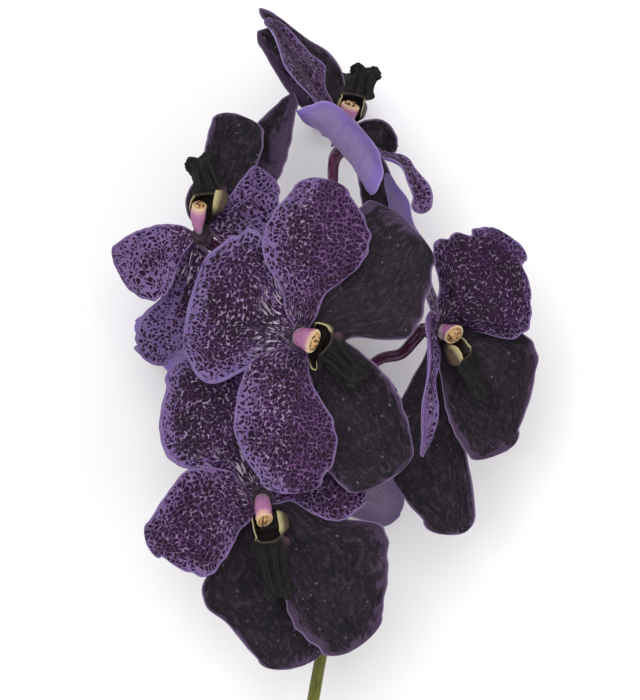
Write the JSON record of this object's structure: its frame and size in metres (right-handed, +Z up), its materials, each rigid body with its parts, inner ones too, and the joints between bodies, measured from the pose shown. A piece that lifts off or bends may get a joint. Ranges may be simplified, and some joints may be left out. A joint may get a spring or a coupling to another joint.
{
  "type": "cut vanda orchid",
  "caption": "Cut flower spray that lies on its back: open purple-black, spotted orchid blooms on short stalks along one bare green stem.",
  "frame": {"origin": "on the table, under the middle of the whole spray's bounding box", "axes": "+Z up from the table, +Y along the spray from the cut end to its tip, +X to the right for someone who looks down on it with the tip away from them"},
  "size_m": [0.1391, 0.3185, 0.0888],
  "materials": {
    "spotted_tepal": "satin, waxy petal tissue: lilac-violet with purple-black spots",
    "dark_sepal": "satin, waxy petal tissue: purple-black with a lilac rim",
    "lip": "satin near-black, with olive-cream side lobes",
    "column": "satin pink-mauve that turns cream at the anther cap",
    "pedicel": "satin magenta-purple",
    "stem": "satin olive green"
  },
  "bodies": {
    "root": {"stem": "stem", "middle_bloom_pedicel": "pedicel", "middle_bloom_column": "column", "middle_bloom_lip": "lip", "middle_bloom_dorsal_sepal": "spotted_tepal", "middle_bloom_petal_1": "spotted_tepal", "middle_bloom_petal_2": "spotted_tepal", "middle_bloom_lateral_sepal_1": "dark_sepal", "middle_bloom_lateral_sepal_2": "dark_sepal", "lower_bloom_pedicel": "pedicel", "lower_bloom_column": "column", "lower_bloom_lip": "lip", "lower_bloom_dorsal_sepal": "spotted_tepal", "lower_bloom_petal_1": "spotted_tepal", "lower_bloom_petal_2": "spotted_tepal", "lower_bloom_lateral_sepal_1": "dark_sepal", "lower_bloom_lateral_sepal_2": "dark_sepal", "left_bloom_pedicel": "pedicel", "left_bloom_column": "column", "left_bloom_lip": "lip", "left_bloom_dorsal_sepal": "spotted_tepal", "left_bloom_petal_1": "spotted_tepal", "left_bloom_petal_2": "spotted_tepal", "left_bloom_lateral_sepal_1": "dark_sepal", "left_bloom_lateral_sepal_2": "dark_sepal", "right_bloom_pedicel": "pedicel", "right_bloom_column": "column", "right_bloom_lip": "lip", "right_bloom_dorsal_sepal": "spotted_tepal", "right_bloom_petal_1": "spotted_tepal", "right_bloom_petal_2": "spotted_tepal", "right_bloom_lateral_sepal_1": "dark_sepal", "right_bloom_lateral_sepal_2": "dark_sepal", "top_bloom_pedicel": "pedicel", "top_bloom_column": "column", "top_bloom_lip": "lip", "top_bloom_dorsal_sepal": "spotted_tepal", "top_bloom_petal_1": "spotted_tepal", "top_bloom_petal_2": "spotted_tepal", "top_bloom_lateral_sepal_1": "dark_sepal", "top_bloom_lateral_sepal_2": "dark_sepal", "back_upper_bloom_pedicel": "pedicel", "back_upper_bloom_column": "column", "back_upper_bloom_lip": "lip", "back_upper_bloom_dorsal_sepal": "spotted_tepal", "back_upper_bloom_petal_1": "spotted_tepal", "back_upper_bloom_petal_2": "spotted_tepal", "back_upper_bloom_lateral_sepal_1": "dark_sepal", "back_upper_bloom_lateral_sepal_2": "dark_sepal", "back_lower_bloom_pedicel": "pedicel", "back_lower_bloom_column": "column", "back_lower_bloom_lip": "lip", "back_lower_bloom_dorsal_sepal": "spotted_tepal", "back_lower_bloom_petal_1": "spotted_tepal", "back_lower_bloom_petal_2": "spotted_tepal", "back_lower_bloom_lateral_sepal_1": "dark_sepal", "back_lower_bloom_lateral_sepal_2": "dark_sepal"}
  },
  "joints": []
}
